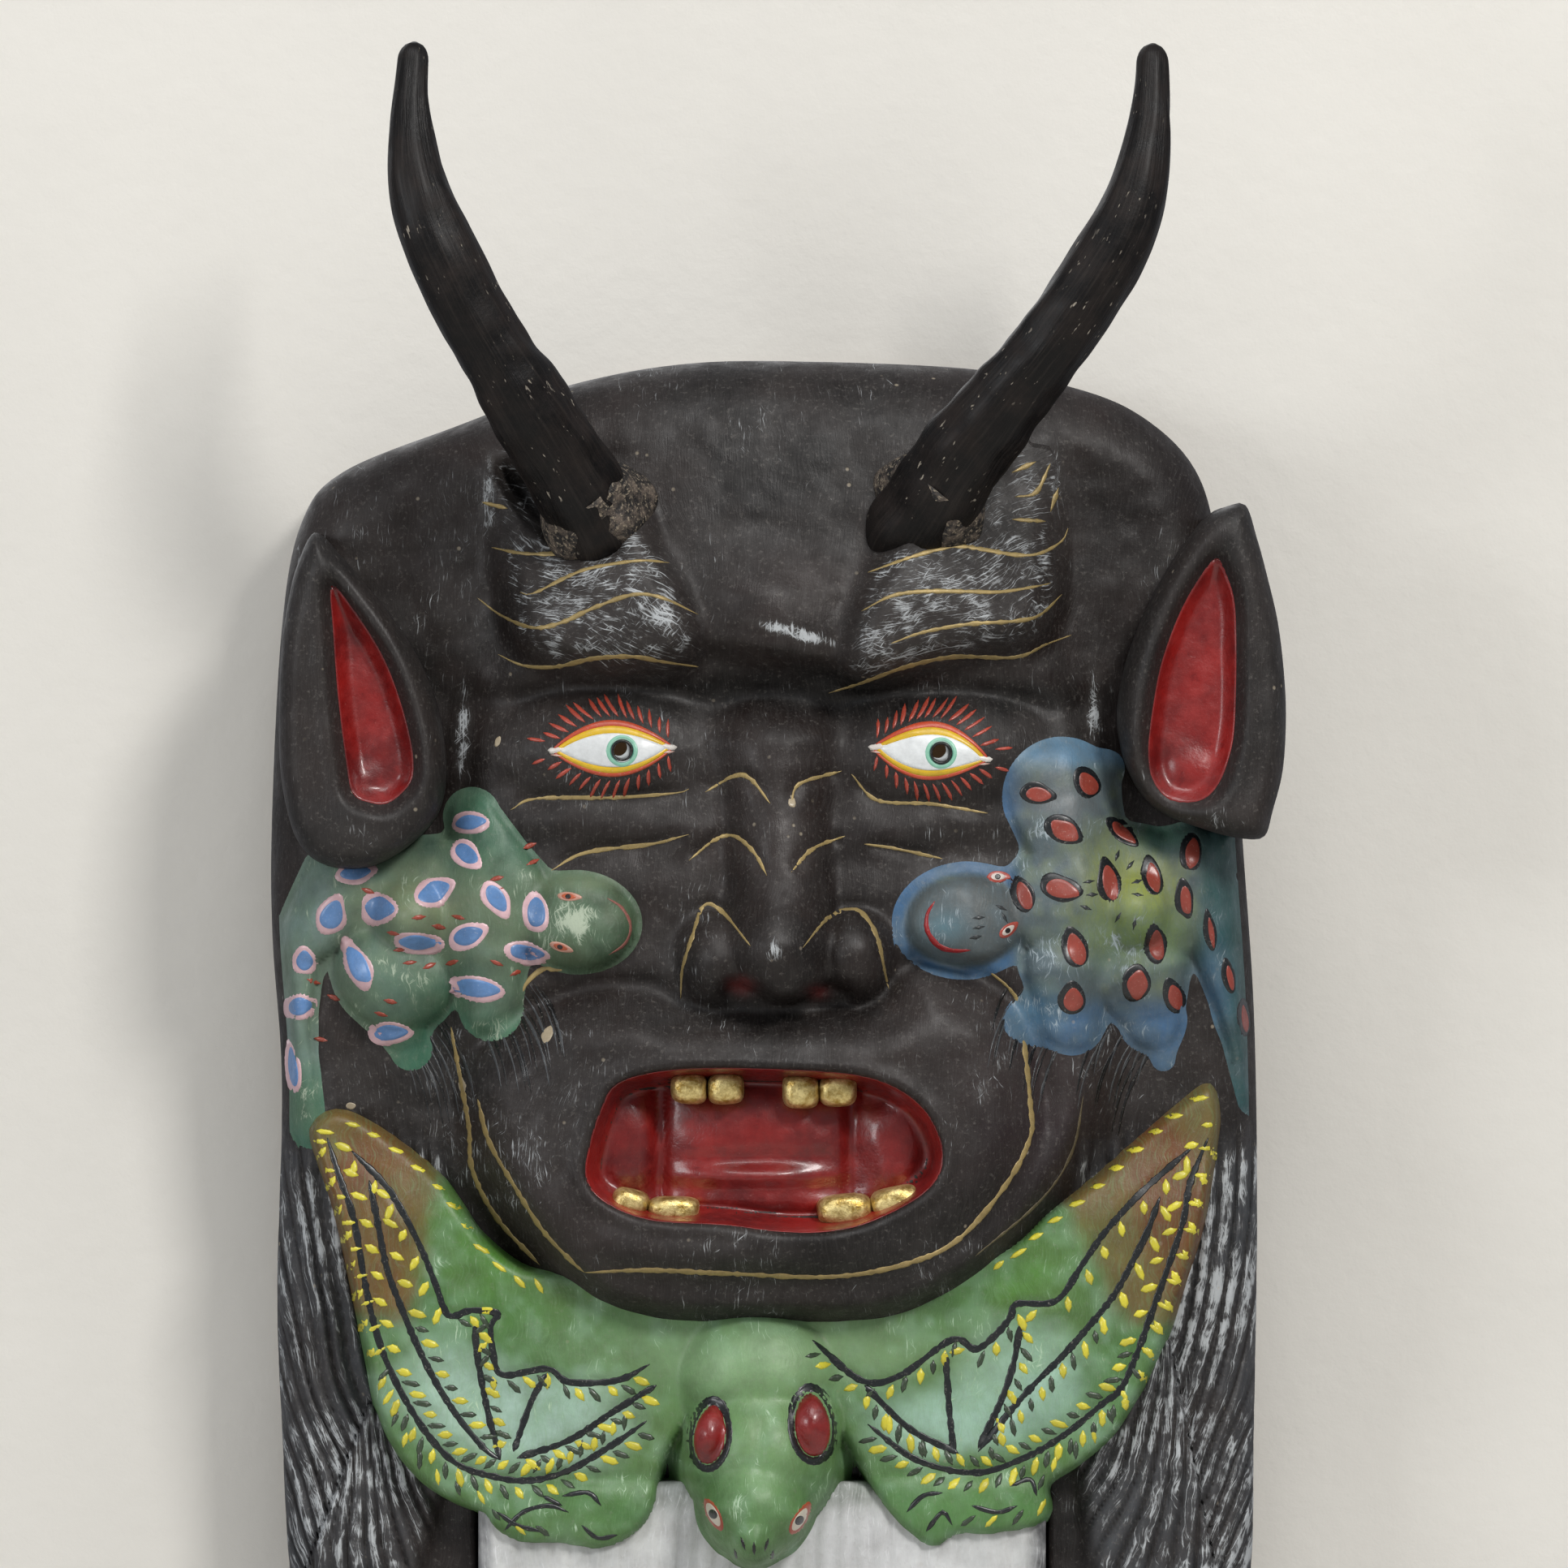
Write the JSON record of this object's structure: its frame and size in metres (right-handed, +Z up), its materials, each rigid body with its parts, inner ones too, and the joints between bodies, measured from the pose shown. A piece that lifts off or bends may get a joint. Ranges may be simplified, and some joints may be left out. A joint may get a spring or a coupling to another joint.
{
  "type": "carved wooden devil mask",
  "caption": "Tall carved wooden wall mask: horned, open-mouthed demon face with carved toads on the cheeks and a bat under the chin; hollow back with a D-ring hanger.",
  "frame": {"origin": "on the flat rim at the back, on the centre line of the face, 12 mm below the top edge of the head; the wall's surface is the plane y = 0", "axes": "+Z up, +Y into the wall, so the face looks along -Y; +X is at the right of someone who faces the mask"},
  "size_m": [0.3142, 0.129, 0.5347],
  "materials": {
    "black_paint": "carved wood, black paint rubbed with grey, semi-matte",
    "horn": "taken to be animal horn, painted black, satin",
    "toad_green": "carved wood, green oil paint with blue spots",
    "toad_blue": "carved wood, blue-grey oil paint with brick-red spots",
    "bat_green": "carved wood, green and pale aqua oil paint",
    "beard_white": "carved wood, silver-white brushed paint",
    "mouth_red": "carved wood, glossy red paint",
    "gilding": "carved wood under metal leaf",
    "bare_wood": "unpainted light wood",
    "putty": "gesso putty, rough, partly painted black",
    "steel": "plain steel, slightly dulled"
  },
  "bodies": {
    "mask": {"mask_block": "black_paint", "horn_left": "horn", "horn_core_left": "bare_wood", "horn_nail_left": "steel", "horn_filler_left": "putty", "ear_left": "black_paint", "toad_left": "toad_green", "bat_dowel_left": "bare_wood", "beard_dowel_left": "bare_wood", "ear_dowel_left_upper": "bare_wood", "ear_dowel_left_lower": "bare_wood", "toad_dowel_left_front": "bare_wood", "toad_dowel_left_rear": "bare_wood", "horn_right": "horn", "horn_core_right": "bare_wood", "horn_nail_right": "steel", "horn_filler_right": "putty", "ear_right": "black_paint", "toad_right": "toad_blue", "bat_dowel_right": "bare_wood", "beard_dowel_right": "bare_wood", "ear_dowel_right_upper": "bare_wood", "ear_dowel_right_lower": "bare_wood", "toad_dowel_right_front": "bare_wood", "toad_dowel_right_rear": "bare_wood", "bat": "bat_green", "beard": "beard_white", "tongue": "mouth_red", "tongue_dowel": "bare_wood", "tooth_upper_left_outer": "gilding", "tooth_upper_left_inner": "gilding", "tooth_upper_right_inner": "gilding", "tooth_upper_right_outer": "gilding", "tooth_lower_left_outer": "gilding", "tooth_lower_left_inner": "gilding", "tooth_lower_right_inner": "gilding", "tooth_lower_right_outer": "gilding", "hanger_strap": "steel", "hanger_screw_upper": "steel", "hanger_screw_lower": "steel"},
    "ring": {"hanger_ring": "steel"}
  },
  "joints": [
    {"name": "ring_hinge", "type": "hinge", "parent": "mask", "child": "ring", "pos_m": [0, -0.0038, -0.03], "axis": [1, 0, 0], "range_deg": [0, 170]}
  ]
}
